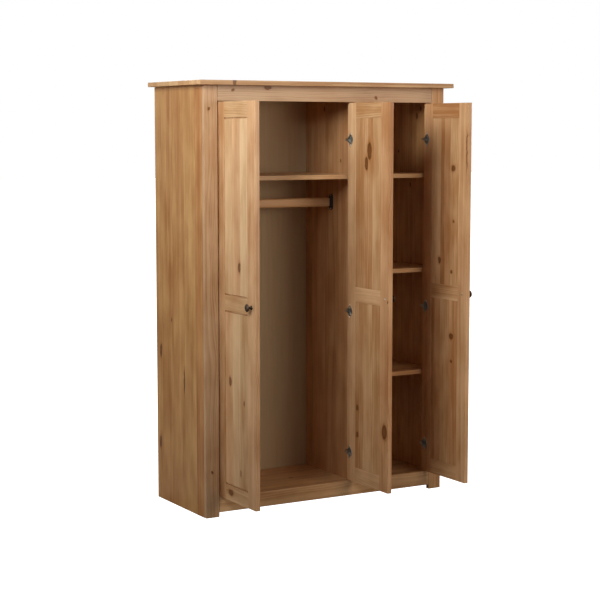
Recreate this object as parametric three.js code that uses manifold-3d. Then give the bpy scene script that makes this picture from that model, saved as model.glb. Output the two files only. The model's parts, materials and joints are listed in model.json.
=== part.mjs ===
// Three-door pine wardrobe standing with its doors open at a right angle.
// Millimetres, +Z up, the front faces -Y. Each separate board, hinge half and
// knob is a mesh of its own; each door is a group that turns about its hinges.
import * as THREE from 'three';
import { mergeVertices } from 'three/addons/utils/BufferGeometryUtils.js';
import Module from 'manifold-3d';

const wasm = await Module();
wasm.setup();

// ---- Overall size -------------------------------------------------------
const width = 1180; // over the top board
const depth = 475; // over the top board
const height = 1715;
const topOverhang = 30; // of the top board, at the front and both sides

// ---- Board sizes --------------------------------------------------------
const topThickness = 18;
const board = 18; // sides, divider, bottom, shelves and face frame
const backThickness = 4;
const backInset = 8; // from the sides' back edges to the back panel
const backGroove = 7; // how far the back panel enters each side
const seam = 0.3; // glue line between pieces that meet
const backFit = 0.3; // of the back panel in its grooves

// ---- Face frame ---------------------------------------------------------
const faceMember = 61; // width of the stiles and rails round the doors
const footGap = 18.5; // from the floor to the bottom rail

// ---- Inside -------------------------------------------------------------
const bottomStep = 13.5; // of the bottom panel's upper face, below the bottom rail's top
const shelfInset = 30; // from the front plane to the shelves' front edges
const hatSpace = 353.5; // from the underside of the top board to the hat shelf
const lowerSpace = 447.7; // from the bottom panel to the lowest shelf
const upperSpace = 396; // from the middle shelf's top to the upper shelf's
const clothesRail = { tall: 37, thick: 16, below: 101.5, ahead: 1.5 }; // of the hat shelf, mid-depth
const bracket = { tall: 68, wide: 30, plate: 3, cup: 14, wall: 3, fit: 0.4 };

// ---- Doors --------------------------------------------------------------
const doorThickness = 19;
const doorMember = 61; // width of a door's own stiles and rails
const doorGap = 2; // at the stiles and between the doors
const doorEndGap = 3; // above and below the doors
const midRailRise = 1.5; // of the doors' middle rails, above half the wardrobe's height
const edgeRound = 2.5; // on a door's outer long edges
const tongue = { thick: 5.9, deep: 7.5 };
const groove = { wide: 6.5, deep: 8 };
const reveal = { rail: 5, stile: 1 }; // open lines round a panel's outer face
const panelSink = 1; // of the panel's faces below the frame's

// ---- Hinges and knobs ---------------------------------------------------
const hingePlaces = { low: 118.5, middle: 72, high: 148 }; // from the door's rails and ends
const openInset = 4.5; // from the stile to the open door's outer face
const openRecess = 17; // how far the open door's hinge edge stands back
const cup = { radius: 17.5, depth: 13.5, wall: 0.7, fromEdge: 20, fit: 0.3 };
const flange = { thick: 1.2, rim: 18.7, long: 30, shoulder: 13, tip: 5 };
const arm = { thick: 2, wide: 11, clear: 1, tipClear: 3.05, plateLong: 44 };
const armFoot = { near: 6, plateNear: 3, lip: 3, wallGap: 1.5 };
const knob = { radius: 15, out: 24.2, base: 9, stem: 4.5 };

// ---- Worked out from the values above -----------------------------------
const halfWidth = width / 2 - topOverhang;
const carcassDepth = depth - topOverhang;
const underTop = height - topThickness;
const openingHalf = halfWidth - faceMember;
const doorWidth = (2 * openingHalf - faceMember - 5 * doorGap) / 3;
const centreLeft = -openingHalf + 2 * doorWidth + 3 * doorGap;
const centreRight = centreLeft + faceMember;
const dividerMiddle = (centreLeft + centreRight) / 2;
const dividerLeft = dividerMiddle - board / 2;
const dividerRight = dividerMiddle + board / 2;
const bottomRailTop = footGap + faceMember;
const topRailLow = underTop - faceMember;
const doorLow = bottomRailTop + doorEndGap;
const doorHigh = topRailLow - doorEndGap;
const midRailCentre = height / 2 + midRailRise;
const hingeHeights = {
  low: doorLow + hingePlaces.low,
  middle: midRailCentre - hingePlaces.middle,
  high: doorHigh - hingePlaces.high,
};
const bottomTop = bottomRailTop - bottomStep;
const shelfTops = {
  upper: underTop - hatSpace,
  middle: underTop - hatSpace - upperSpace,
  lower: bottomTop + lowerSpace,
};
const innerWall = halfWidth - board;
const backFront = carcassDepth - backInset - backThickness;
const innerDepth = backFront - seam;
const pivotIn = (openRecess + doorGap + openInset) / 2;
const pivotBack = (openRecess + doorGap - openInset) / 2;
const doorReach = doorWidth - openRecess;
const frontPlane = -(carcassDepth - doorReach) / 2;

// ---- Materials ----------------------------------------------------------
const pine = new THREE.MeshStandardMaterial({ color: 0xc08a56, roughness: 0.5, metalness: 0 });
const thinBack = new THREE.MeshStandardMaterial({ color: 0xb99972, roughness: 0.7, metalness: 0 });
const nickel = new THREE.MeshStandardMaterial({ color: 0xa9a8a4, roughness: 0.3, metalness: 1 });
const darkMetal = new THREE.MeshStandardMaterial({ color: 0x2c2926, roughness: 0.45, metalness: 0.8 });
const darkPlastic = new THREE.MeshStandardMaterial({ color: 0x26221f, roughness: 0.6, metalness: 0 });

// ---- Small tools --------------------------------------------------------
// A box given by its limits on each axis.
function block([x0, x1], [y0, y1], [z0, z1]) {
  const geometry = new THREE.BoxGeometry(Math.abs(x1 - x0), y1 - y0, z1 - z0);
  return geometry.translate((x0 + x1) / 2, (y0 + y1) / 2, (z0 + z1) / 2);
}

// A closed three.js geometry as a manifold solid, ready to be joined or cut.
function toSolid(geometry) {
  const plain = geometry.clone();
  plain.deleteAttribute('normal');
  plain.deleteAttribute('uv');
  const merged = mergeVertices(plain);
  return new wasm.Manifold(new wasm.Mesh({
    numProp: 3,
    vertProperties: merged.attributes.position.array,
    triVerts: Uint32Array.from(merged.index.array),
  }));
}

// A manifold solid back as a three.js geometry.
function toGeometry(solid) {
  const { vertProperties, triVerts } = solid.getMesh();
  const geometry = new THREE.BufferGeometry();
  geometry.setAttribute('position', new THREE.BufferAttribute(vertProperties, 3));
  geometry.setIndex(new THREE.BufferAttribute(triVerts, 1));
  geometry.computeVertexNormals();
  return geometry;
}

// Several geometries joined into one body, with others cut away from it.
function carve(joined, cut = []) {
  let solid = toSolid(joined[0]);
  for (const piece of joined.slice(1)) solid = solid.add(toSolid(piece));
  for (const piece of cut) solid = solid.subtract(toSolid(piece));
  return toGeometry(solid);
}

function addMesh(parent, name, material, geometry) {
  const mesh = new THREE.Mesh(geometry, material.clone());
  mesh.name = name;
  parent.add(mesh);
  return mesh;
}

// A plain board, its geometry centred and its place kept on the mesh.
function addBoard(parent, name, material, [x0, x1], [y0, y1], [z0, z1]) {
  const mesh = addMesh(parent, name, material, new THREE.BoxGeometry(x1 - x0, y1 - y0, z1 - z0));
  mesh.position.set((x0 + x1) / 2, (y0 + y1) / 2, (z0 + z1) / 2);
}

// A flat outline in X and Y, drawn up to a height.
function column(points, [z0, z1]) {
  const shape = new THREE.Shape(points.map(([x, y]) => new THREE.Vector2(x, y)));
  const geometry = new THREE.ExtrudeGeometry(shape, { depth: z1 - z0, bevelEnabled: false });
  return geometry.translate(0, 0, z0);
}

// An outline in Y and Z, drawn along X.
function bar(shape, [x0, x1]) {
  const settings = { depth: x1 - x0, bevelEnabled: false, curveSegments: 10 };
  const geometry = new THREE.ExtrudeGeometry(shape, settings);
  const alongX = new THREE.Matrix4().makeBasis(
    new THREE.Vector3(0, 1, 0),
    new THREE.Vector3(0, 0, 1),
    new THREE.Vector3(1, 0, 0),
  );
  return geometry.applyMatrix4(alongX).translate(x0, 0, 0);
}

// A round-ended upright slot shape about a centre.
function slotShape(y, z, wide, tall) {
  const radius = wide / 2;
  const straight = tall / 2 - radius;
  const shape = new THREE.Shape();
  shape.absarc(y, z + straight, radius, 0, Math.PI, false);
  shape.absarc(y, z - straight, radius, Math.PI, 2 * Math.PI, false);
  return shape;
}

const wardrobe = new THREE.Group();
const carcass = new THREE.Group();
carcass.position.y = frontPlane;
wardrobe.add(carcass);

// ---- Top board, sides, divider, bottom, back ----------------------------
addBoard(carcass, 'top_board', pine, [-width / 2, width / 2], [-topOverhang, carcassDepth],
  [underTop, height]);

for (const [side, hand] of [['left', -1], ['right', 1]]) {
  const slot = block(
    [hand * (innerWall + backGroove), hand * (innerWall - 1)],
    [backFront - backFit, backFront + backThickness + backFit],
    [bottomTop - board - seam, underTop],
  );
  const panel = block([hand * halfWidth, hand * innerWall], [board + seam, carcassDepth],
    [0, underTop - seam]);
  addMesh(carcass, `side_panel_${side}`, pine, carve([panel], [slot]));
}

addBoard(carcass, 'divider_panel', pine, [dividerLeft, dividerRight], [board + seam, innerDepth],
  [bottomTop + seam, underTop - seam]);
addBoard(carcass, 'bottom_panel', pine, [-innerWall + seam, innerWall - seam],
  [board + seam, innerDepth], [bottomTop - board, bottomTop]);
const backHalf = innerWall + backGroove - backFit;
addBoard(carcass, 'back_panel', thinBack, [-backHalf, backHalf],
  [backFront, backFront + backThickness], [bottomTop - board, underTop - seam]);

// ---- Face frame: stiles to the floor, rails and a centre stile ----------
addBoard(carcass, 'stile_left', pine, [-halfWidth, -openingHalf], [0, board], [0, underTop - seam]);
addBoard(carcass, 'stile_right', pine, [openingHalf, halfWidth], [0, board], [0, underTop - seam]);
addBoard(carcass, 'stile_centre', pine, [centreLeft, centreRight], [0, board],
  [bottomRailTop + seam, topRailLow - seam]);
const railHalf = openingHalf - seam;
addBoard(carcass, 'top_rail', pine, [-railHalf, railHalf], [0, board], [topRailLow, underTop - seam]);
addBoard(carcass, 'bottom_rail', pine, [-railHalf, railHalf], [0, board], [footGap, bottomRailTop]);

// ---- Shelves ------------------------------------------------------------
const hangingSpan = [-innerWall + seam, dividerLeft - seam];
const shelfSpan = [dividerRight + seam, innerWall - seam];
addBoard(carcass, 'hat_shelf', pine, hangingSpan, [shelfInset, innerDepth],
  [shelfTops.upper - board, shelfTops.upper]);
for (const [level, top] of Object.entries(shelfTops)) {
  addBoard(carcass, `shelf_${level}`, pine, shelfSpan, [shelfInset, innerDepth], [top - board, top]);
}

// ---- Clothes rail and its two brackets ----------------------------------
const railY = carcassDepth / 2 - clothesRail.ahead;
const railZ = shelfTops.upper - board - clothesRail.below;
function addBracket(name, wallX, hand) {
  const near = wallX + hand * seam;
  const plateEnd = near + hand * bracket.plate;
  const cupEnd = near + hand * bracket.cup;
  const sorted = (a, b) => [Math.min(a, b), Math.max(a, b)];
  const socketWide = clothesRail.thick + 2 * bracket.fit;
  const socketTall = clothesRail.tall + 2 * bracket.fit;
  const plate = bar(slotShape(railY, railZ, bracket.wide, bracket.tall), sorted(near, plateEnd));
  const ring = slotShape(railY, railZ, socketWide + 2 * bracket.wall, socketTall + 2 * bracket.wall);
  const socket = slotShape(railY, railZ, socketWide, socketTall);
  addMesh(carcass, name, darkPlastic, carve(
    [plate, bar(ring, sorted(near, cupEnd))],
    [bar(socket, sorted(plateEnd, cupEnd + hand))],
  ));
}
addBracket('rail_bracket_left', -innerWall, 1);
addBracket('rail_bracket_right', dividerLeft, -1);
const railEnd = seam + bracket.plate + bracket.fit;
addMesh(carcass, 'clothes_rail', pine, bar(
  slotShape(railY, railZ, clothesRail.thick, clothesRail.tall),
  [-innerWall + railEnd, dividerLeft - railEnd],
));

// ---- Hinge arm: fixed behind a stile, hooked into the door's cup --------
// Distances are u, from the stile's edge towards the door, and v, back from
// the front plane. The hook passes round the door's edge as the door turns.
const swing = Math.hypot(pivotIn - doorGap, doorThickness - pivotBack);
const hookNear = pivotIn + swing + arm.clear;
const runLow = pivotBack + swing + arm.clear;
const legLow = doorThickness - cup.depth + cup.wall + arm.clear / 2;
const tipEnd = pivotIn - pivotBack + doorThickness - cup.depth + cup.wall + arm.tipClear;
const plateFar = (faceMember - board) / 2 - armFoot.wallGap;
const footFar = plateFar - armFoot.lip;
function addHingeArm(name, stileEdge, hand, z) {
  const hookFar = hookNear + arm.thick;
  const runHigh = runLow + arm.thick;
  const foot = board + seam;
  const outline = [
    [-footFar, foot],
    [-footFar, runHigh],
    [hookFar, runHigh],
    [hookFar, legLow],
    [tipEnd, legLow],
    [tipEnd, legLow + arm.thick],
    [hookNear, legLow + arm.thick],
    [hookNear, runLow],
    [-armFoot.near, runLow],
    [-armFoot.near, foot],
  ];
  const strap = column(
    outline.map(([u, v]) => [stileEdge + hand * u, v]),
    [z - arm.wide / 2, z + arm.wide / 2],
  );
  const plate = block(
    [stileEdge - hand * plateFar, stileEdge - hand * armFoot.plateNear],
    [foot, foot + arm.thick],
    [z - arm.plateLong / 2, z + arm.plateLong / 2],
  );
  addMesh(carcass, name, nickel, carve([strap, plate]));
}

// ---- Doors --------------------------------------------------------------
// A door is drawn closed, with u from its hinge-side stile and v back from the
// front plane, and its group is then turned about the hinge axis.
const doorLeft = doorGap;
const doorRight = doorGap + doorWidth;
const grooveFront = (doorThickness - groove.wide) / 2;
const tongueFront = (doorThickness - tongue.thick) / 2;
const arcSteps = 4;

// Section of a door stile, rounded on its outer edge and grooved for the panels.
function stileSection() {
  const points = [];
  for (let step = 0; step <= arcSteps; step += 1) {
    const turn = (Math.PI / 2) * (step / arcSteps);
    points.push([
      doorLeft + edgeRound - edgeRound * Math.cos(turn),
      edgeRound - edgeRound * Math.sin(turn),
    ]);
  }
  const inner = doorLeft + doorMember;
  points.push(
    [inner, 0],
    [inner, grooveFront],
    [inner - groove.deep, grooveFront],
    [inner - groove.deep, grooveFront + groove.wide],
    [inner, grooveFront + groove.wide],
    [inner, doorThickness],
    [doorLeft, doorThickness],
  );
  return points;
}

function hingeCup(x, z) {
  const low = doorThickness - cup.depth;
  const high = doorThickness + seam + flange.thick;
  const inner = cup.radius - cup.wall;
  const profile = [
    [0, low],
    [cup.radius, low],
    [cup.radius, high],
    [inner, high],
    [inner, low + cup.wall],
    [0, low + cup.wall],
  ].map(([r, y]) => new THREE.Vector2(r, y));
  const dish = new THREE.LatheGeometry(profile, 40);
  const ring = new THREE.CylinderGeometry(flange.rim, flange.rim, flange.thick, 40);
  ring.translate(0, high - flange.thick / 2, 0);
  const ears = column([
    [-flange.shoulder, -flange.shoulder],
    [-flange.tip, -flange.long],
    [flange.tip, -flange.long],
    [flange.shoulder, -flange.shoulder],
    [flange.shoulder, flange.shoulder],
    [flange.tip, flange.long],
    [-flange.tip, flange.long],
    [-flange.shoulder, flange.shoulder],
  ], [0, flange.thick]).rotateX(Math.PI / 2).translate(0, high, 0);
  const mouth = new THREE.CylinderGeometry(inner, inner, 4 * flange.thick, 40);
  mouth.translate(0, high, 0);
  const plate = toSolid(ring).add(toSolid(ears)).subtract(toSolid(mouth));
  return toGeometry(plate.add(toSolid(dish))).translate(x, 0, z);
}

function knobShape() {
  const profile = [
    [0, -seam],
    [knob.base, -seam],
    [knob.base, -seam - 1.5],
    [knob.stem + 2, -3],
    [knob.stem, -7],
    [knob.stem, -12],
    [knob.radius * 0.55, -15.5],
    [knob.radius - 1, -17],
    [knob.radius, -18.5],
    [knob.radius, -20.5],
    [knob.radius - 1.5, -22],
    [knob.radius * 0.65, -knob.out + 1],
    [knob.radius * 0.3, -knob.out + 0.2],
    [0, -knob.out],
  ].map(([r, y]) => new THREE.Vector2(r, y));
  profile.reverse();
  return new THREE.LatheGeometry(profile, 32);
}

function addDoor(label, stileEdge, hand) {
  const door = new THREE.Group();
  door.position.set(stileEdge + hand * pivotIn, pivotBack, 0);
  door.rotation.z = -hand * Math.PI / 2;
  carcass.add(door);
  const across = (u) => hand * (u - pivotIn);
  const back = (v) => v - pivotBack;
  const part = (u0, u1, v0, v1, z0, z1) => block(
    [across(u0), across(u1)],
    [back(v0), back(v1)],
    [z0, z1],
  );

  // Hinge stile, bored for three cups, and the free stile, its mirror image.
  const section = stileSection();
  const hingeStile = column(section.map(([u, v]) => [across(u), back(v)]), [doorLow, doorHigh]);
  const cupPlace = doorLeft + cup.fromEdge;
  const boreDepth = cup.depth + cup.fit;
  const bores = Object.values(hingeHeights).map((z) => {
    const boreRadius = cup.radius + cup.fit;
    const bore = new THREE.CylinderGeometry(boreRadius, boreRadius, boreDepth + 1, 40);
    return bore.translate(across(cupPlace), back(doorThickness - boreDepth + (boreDepth + 1) / 2), z);
  });
  addMesh(door, `door_${label}_stile_hinge`, pine, carve([hingeStile], bores));
  const freeStile = column(
    section.map(([u, v]) => [across(doorLeft + doorRight - u), back(v)]),
    [doorLow, doorHigh],
  );
  addMesh(door, `door_${label}_stile_free`, pine, carve([freeStile]));

  // Rails between the stiles, grooved for the panels and with stub tenons.
  const railFrom = doorLeft + doorMember + seam;
  const railTo = doorRight - doorMember - seam;
  const tenon = tongue.deep;
  const rails = [
    ['bottom', doorLow, false, true],
    ['middle', midRailCentre - doorMember / 2, true, true],
    ['top', doorHigh - doorMember, true, false],
  ];
  for (const [place, low, grooveBelow, grooveAbove] of rails) {
    const high = low + doorMember;
    const cuts = [];
    const slot = (z0, z1) => part(railFrom - tenon - 1, railTo + tenon + 1,
      grooveFront, grooveFront + groove.wide, z0, z1);
    if (grooveBelow) cuts.push(slot(low - 1, low + groove.deep));
    if (grooveAbove) cuts.push(slot(high - groove.deep, high + 1));
    addMesh(door, `door_${label}_rail_${place}`, pine, carve([
      part(railFrom, railTo, 0, doorThickness, low, high),
      part(railFrom - tenon, railTo + tenon, tongueFront, tongueFront + tongue.thick, low, high),
    ], cuts));
  }

  // Two panels, each a tongued core with a field on either face.
  const spans = [
    ['lower', doorLow + doorMember, midRailCentre - doorMember / 2],
    ['upper', midRailCentre + doorMember / 2, doorHigh - doorMember],
  ];
  const bayFrom = doorLeft + doorMember;
  const bayTo = doorRight - doorMember;
  for (const [place, low, high] of spans) {
    const field = (edge, end, v0, v1) => part(bayFrom + edge, bayTo - edge, v0, v1, low + end, high - end);
    addMesh(door, `door_${label}_panel_${place}`, pine, carve([
      part(bayFrom - tongue.deep, bayTo + tongue.deep, tongueFront, tongueFront + tongue.thick,
        low - tongue.deep, high + tongue.deep),
      field(reveal.stile, reveal.rail, panelSink, tongueFront + 1),
      field(seam, seam, tongueFront + 1, doorThickness - panelSink),
    ]));
  }

  // Knob on the free stile, level with the middle rail.
  const handle = addMesh(door, `door_${label}_knob`, darkMetal, knobShape());
  handle.position.set(across(doorRight - doorMember / 2), back(0), midRailCentre);

  // Cups in the door and arms on the face frame.
  for (const [place, z] of Object.entries(hingeHeights)) {
    const seat = addMesh(door, `hinge_${label}_${place}_cup`, nickel, hingeCup(0, 0));
    seat.position.set(across(cupPlace), back(0), z);
    addHingeArm(`hinge_${label}_${place}_arm`, stileEdge, hand, z);
  }
}

addDoor('left', -openingHalf, 1);
addDoor('middle', centreLeft, -1);
addDoor('right', openingHalf, -1);

export default wardrobe;
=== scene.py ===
# Three-door pine wardrobe standing with its doors open at a right angle.
# Metres, +Z up, the front faces -Y; one section for each kind of piece.
import json
import math
import random

import bmesh
import bpy
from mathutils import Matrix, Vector

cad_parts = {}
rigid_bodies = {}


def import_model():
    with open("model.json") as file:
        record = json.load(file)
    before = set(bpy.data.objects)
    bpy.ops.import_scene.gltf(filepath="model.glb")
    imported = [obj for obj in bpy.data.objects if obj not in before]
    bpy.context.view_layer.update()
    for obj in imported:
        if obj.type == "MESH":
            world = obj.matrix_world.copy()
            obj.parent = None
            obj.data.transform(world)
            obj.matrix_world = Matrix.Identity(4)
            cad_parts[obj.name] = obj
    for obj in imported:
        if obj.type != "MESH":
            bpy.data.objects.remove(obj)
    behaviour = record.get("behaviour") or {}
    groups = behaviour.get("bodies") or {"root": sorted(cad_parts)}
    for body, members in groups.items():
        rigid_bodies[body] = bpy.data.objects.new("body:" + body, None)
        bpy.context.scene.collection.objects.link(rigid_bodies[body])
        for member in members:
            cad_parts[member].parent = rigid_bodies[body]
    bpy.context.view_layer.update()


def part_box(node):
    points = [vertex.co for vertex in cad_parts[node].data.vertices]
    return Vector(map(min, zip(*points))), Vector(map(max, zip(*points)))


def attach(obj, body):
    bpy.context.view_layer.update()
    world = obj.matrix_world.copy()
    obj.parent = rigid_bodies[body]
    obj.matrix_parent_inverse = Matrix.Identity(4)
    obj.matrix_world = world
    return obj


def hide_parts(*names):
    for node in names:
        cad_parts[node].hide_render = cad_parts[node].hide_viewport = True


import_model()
MM = 0.001

# ---- Camera -------------------------------------------------------------
# A standing viewer's eye to the left of the front, about six and a half
# metres away, looking slightly down. Angles in radians, lens in millimetres.
EYE = (-3.318, -5.606, 1.529)
TURN_RIGHT = 0.5226
LOOK_DOWN = 0.1068
SENSOR = 36.0
LENS = 95.85

lens_data = bpy.data.cameras.new("camera")
lens_data.sensor_width = SENSOR
lens_data.lens = LENS
camera = bpy.data.objects.new("camera", lens_data)
camera.location = EYE
camera.rotation_euler = (math.pi / 2 - LOOK_DOWN, 0, -TURN_RIGHT)
bpy.context.scene.collection.objects.link(camera)
bpy.context.scene.camera = camera
bpy.context.scene.view_settings.view_transform = "Standard"


# ---- Studio: floor, sky and lamps ---------------------------------------
# A plain pale floor under a white surround. A soft key lamp stands high on the
# front left; weaker warm ones fill from the left and the front, and the lamps
# on the right and behind keep those sides readable.
def colour(code):
    """An sRGB hex colour as linear RGBA."""
    parts = [((code >> shift) & 255) / 255 for shift in (16, 8, 0)]
    linear = [c / 12.92 if c <= 0.04045 else ((c + 0.055) / 1.055) ** 2.4 for c in parts]
    return (*linear, 1.0)


def add(tree, kind, feeds=None, **settings):
    """Adds one node. A feed to a socket is a value, a socket or another node."""
    made = tree.nodes.new(kind)
    for key, value in settings.items():
        setattr(made, key, value)
    for key, value in (feeds or {}).items():
        if isinstance(value, bpy.types.Node):
            value = next(out for out in value.outputs if out.enabled)
        if isinstance(value, bpy.types.NodeSocket):
            tree.links.new(value, made.inputs[key])
        else:
            made.inputs[key].default_value = value
    return made


def new_piece(name, points, faces, material):
    """A mesh object at the origin from points and faces, with one material."""
    mesh = bpy.data.meshes.new(name)
    mesh.from_pydata([tuple(p) for p in points], [], faces)
    mesh.polygons.foreach_set("use_smooth", [True] * len(mesh.polygons))
    mesh.update()
    made = bpy.data.objects.new(name, mesh)
    bpy.context.scene.collection.objects.link(made)
    if material:
        mesh.materials.append(material)
    return made


def new_material(name):
    """A material with its node tree, its shader and the piece's own coordinates."""
    made = bpy.data.materials.new(name)
    made.use_nodes = True
    tree = made.node_tree
    here = add(tree, "ShaderNodeTexCoord").outputs["Object"]
    return made, tree, tree.nodes["Principled BSDF"], here


def wear_only(piece, material):
    """Gives a piece one material in place of those it has."""
    piece.data.materials.clear()
    piece.data.materials.append(material)


FLOOR_HALF = 40.0
FLOOR_PAINT = colour(0x93928F)
FLOOR_GLOW = 1.5  # makes the floor as white as the surround to the camera only
SKY_LIGHT = 0.12
SKY_WARMTH = (1, 0.93, 0.86, 1)
SKY_IN_GLOSS = 0.3  # share of the bright surround that reflections see
WHITE = (1, 1, 1, 1)

floor_paint = bpy.data.materials.new("floor, matt grey paint")
floor_paint.use_nodes = True
floor_tree = floor_paint.node_tree
floor_tree.nodes.clear()
matt = add(floor_tree, "ShaderNodeBsdfDiffuse", {"Color": FLOOR_PAINT})
lift = add(floor_tree, "ShaderNodeEmission", {"Color": WHITE, "Strength": FLOOR_GLOW})
seen = add(floor_tree, "ShaderNodeLightPath")
lifted = add(floor_tree, "ShaderNodeAddShader", {0: matt, 1: lift})
paint = add(
    floor_tree, "ShaderNodeMixShader", {"Fac": seen.outputs["Is Camera Ray"], 1: matt, 2: lifted}
)
add(floor_tree, "ShaderNodeOutputMaterial", {"Surface": paint})
floor = new_piece(
    "floor",
    [(x * FLOOR_HALF, y * FLOOR_HALF, 0) for x, y in ((-1, -1), (1, -1), (1, 1), (-1, 1))],
    [(0, 1, 2, 3)],
    floor_paint,
)

sky = bpy.data.worlds.new("studio surround")
bpy.context.scene.world = sky
sky.use_nodes = True
sky.node_tree.nodes.clear()
dim = add(sky.node_tree, "ShaderNodeBackground", {"Color": SKY_WARMTH, "Strength": SKY_LIGHT})
bright = add(sky.node_tree, "ShaderNodeBackground", {"Color": WHITE, "Strength": 1.0})
direct = add(sky.node_tree, "ShaderNodeLightPath")
shown = add(
    sky.node_tree, "ShaderNodeMath",
    {0: direct.outputs["Is Glossy Ray"], 1: SKY_IN_GLOSS, 2: direct.outputs["Is Camera Ray"]},
    operation="MULTIPLY_ADD",
)
both = add(sky.node_tree, "ShaderNodeMixShader", {"Fac": shown, 1: dim, 2: bright})
add(sky.node_tree, "ShaderNodeOutputWorld", {"Surface": both})

COOL_LIGHT = (0.9, 0.97, 1.0)
WARM_LIGHT = (1.0, 0.9, 0.77)
PLAIN_LIGHT = (1.0, 0.98, 0.95)
# Name, place, aim, side of the square, watts, spread in degrees and hue.
for name, place, aim, side, watts, spread, hue in (
    ("key lamp", (-2.25, -1.5, 2.5), (0.3, -0.25, 2.0), 1.2, 31, 100, COOL_LIGHT),
    ("left lamp", (-3.6, 1.5, 0.9), (-0.5, 0.0, 0.4), 1.6, 20, 180, WARM_LIGHT),
    ("front lamp", (0.6, -3.4, 1.5), (0.3, 0.0, 1.1), 0.9, 12, 120, WARM_LIGHT),
    ("right front lamp", (2.6, -2.4, 2.4), (0.5, 0.0, 1.3), 1.2, 9, 180, PLAIN_LIGHT),
    ("right lamp", (3.4, 0.7, 1.9), (0.5, 0.0, 0.9), 1.6, 55, 180, PLAIN_LIGHT),
    ("back lamp", (1.6, 3.2, 2.9), (0.0, 0.2, 0.8), 1.8, 85, 180, PLAIN_LIGHT),
):
    lamp_data = bpy.data.lights.new(name, "AREA")
    lamp_data.size = side
    lamp_data.energy = watts
    lamp_data.color = hue
    lamp_data.spread = math.radians(spread)
    lamp = bpy.data.objects.new(name, lamp_data)
    lamp.location = place
    lamp.rotation_euler = (Vector(aim) - Vector(place)).to_track_quat("-Z", "Y").to_euler()
    bpy.context.scene.collection.objects.link(lamp)

# ---- Top board ----------------------------------------------------------
# One 18 mm board of edge-glued knotty pine staves, its grain running the
# width of the wardrobe, sanded, satin-lacquered, with softened edges.

# A knot pushes the grain lines apart as a post does a stream. The group gives
# how far a point's grain is moved aside and how close the point is to a knot.
swirl = bpy.data.node_groups.new("grain round a knot", "ShaderNodeTree")
for label in (
    "Across", "Along", "Moved", "Closeness", "Knot across", "Knot along", "Radius", "Stretch",
):
    swirl.interface.new_socket(label, in_out="INPUT", socket_type="NodeSocketFloat")
for label in ("Moved", "Closeness"):
    swirl.interface.new_socket(label, in_out="OUTPUT", socket_type="NodeSocketFloat")
given = add(swirl, "NodeGroupInput").outputs
aside = add(
    swirl, "ShaderNodeMath", {0: given["Across"], 1: given["Knot across"]}, operation="SUBTRACT"
)
ahead = add(
    swirl, "ShaderNodeMath", {0: given["Along"], 1: given["Knot along"]}, operation="SUBTRACT"
)
ahead = add(swirl, "ShaderNodeMath", {0: ahead, 1: given["Stretch"]}, operation="DIVIDE")
aside_sq = add(swirl, "ShaderNodeMath", {0: aside, 1: aside}, operation="MULTIPLY")
away_sq = add(swirl, "ShaderNodeMath", {0: ahead, 1: ahead, 2: aside_sq}, operation="MULTIPLY_ADD")
away_sq = add(swirl, "ShaderNodeMath", {0: away_sq, 1: 1e-9}, operation="ADD")
radius_sq = add(
    swirl, "ShaderNodeMath", {0: given["Radius"], 1: given["Radius"]}, operation="MULTIPLY"
)
close = add(swirl, "ShaderNodeMath", {0: radius_sq, 1: away_sq}, operation="DIVIDE")
pushed = add(swirl, "ShaderNodeMath", {0: close, 1: 1.0}, operation="MINIMUM")
pushed = add(swirl, "ShaderNodeMath", {0: pushed, 1: aside}, operation="MULTIPLY")
moved = add(swirl, "ShaderNodeMath", {0: given["Moved"], 1: pushed}, operation="SUBTRACT")
nearest = add(swirl, "ShaderNodeMath", {0: given["Closeness"], 1: close}, operation="MAXIMUM")
add(swirl, "NodeGroupOutput", {"Moved": moved, "Closeness": nearest})

# Growth rings of a stave: circles round a pith that lies some way behind the
# face, wavering along the trunk. Pine rings are 2 to 5 mm apart, with a dark
# late-wood line in each; fibres are drawn coarser than life, at 2 mm, to show.
EARLY_WOOD = colour(0xE2B988)
LATE_WOOD = colour(0xB07B49)
ROSY_WOOD = colour(0xF6DCD2)
KNOT_HALO = colour(0x9F5F28)
KNOT_HEART = colour(0x48240C)
RING_GAP = 4.6 * MM
RING_CROWDING = 2.2  # rings by which they bunch and spread
CROWDING_PACE = 0.37
LATE_FROM, LATE_TO, LATE_ENDS = 0.3, 0.88, 0.9  # shares of a ring
FIBRE = 2.0 * MM
FIBRE_GRID = (1 / FIBRE, 1 / FIBRE, 9.0)
PITH_SPREAD = 110 * MM
PITH_NEAR = 30 * MM
PITH_DEPTH = 70 * MM
SWAY = 75 * MM
# Patterns to the metre: across, from stave to stave, along.
SWAY_GRID = (7.0, 1.0, 1.5)
STREAK_GRID = (34.0, 1.0, 2.0)  # streaks 29 mm wide
CLOUD_GRID = (14.0, 1.0, 6.0)  # clouds 71 mm wide
STAVES_APART = 7.31  # sets each stave elsewhere in the patterns
ROSY_SHARE = 0.55  # of the rosy tint on the rosiest stave
# How much each darkens the wood, and the sums that are palest and darkest.
LATE_SHARE, FIBRE_SHARE, STAVE_SHARE = 0.27, 0.45, 0.42
PALEST, DARKEST = 1.1, 1.95
# Closeness is 1 at a knot's rim and falls with the square of the distance.
HALO_FROM, HALO_TO, HALO_STRENGTH = 0.14, 1.05, 0.75
KNOT_FROM, KNOT_TO = 0.85, 1.15
KNOT_RINGS = 4.0
KNOT_RING_PALE = 0.6
GLUE_FROM, GLUE_SHADE = 0.488, 0.84  # from the stave's middle, in its widths
LATE_RELIEF, FIBRE_RELIEF = 0.6, 0.4
PALE_ROUGHNESS, DARK_ROUGHNESS = 0.46, 0.36

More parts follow.
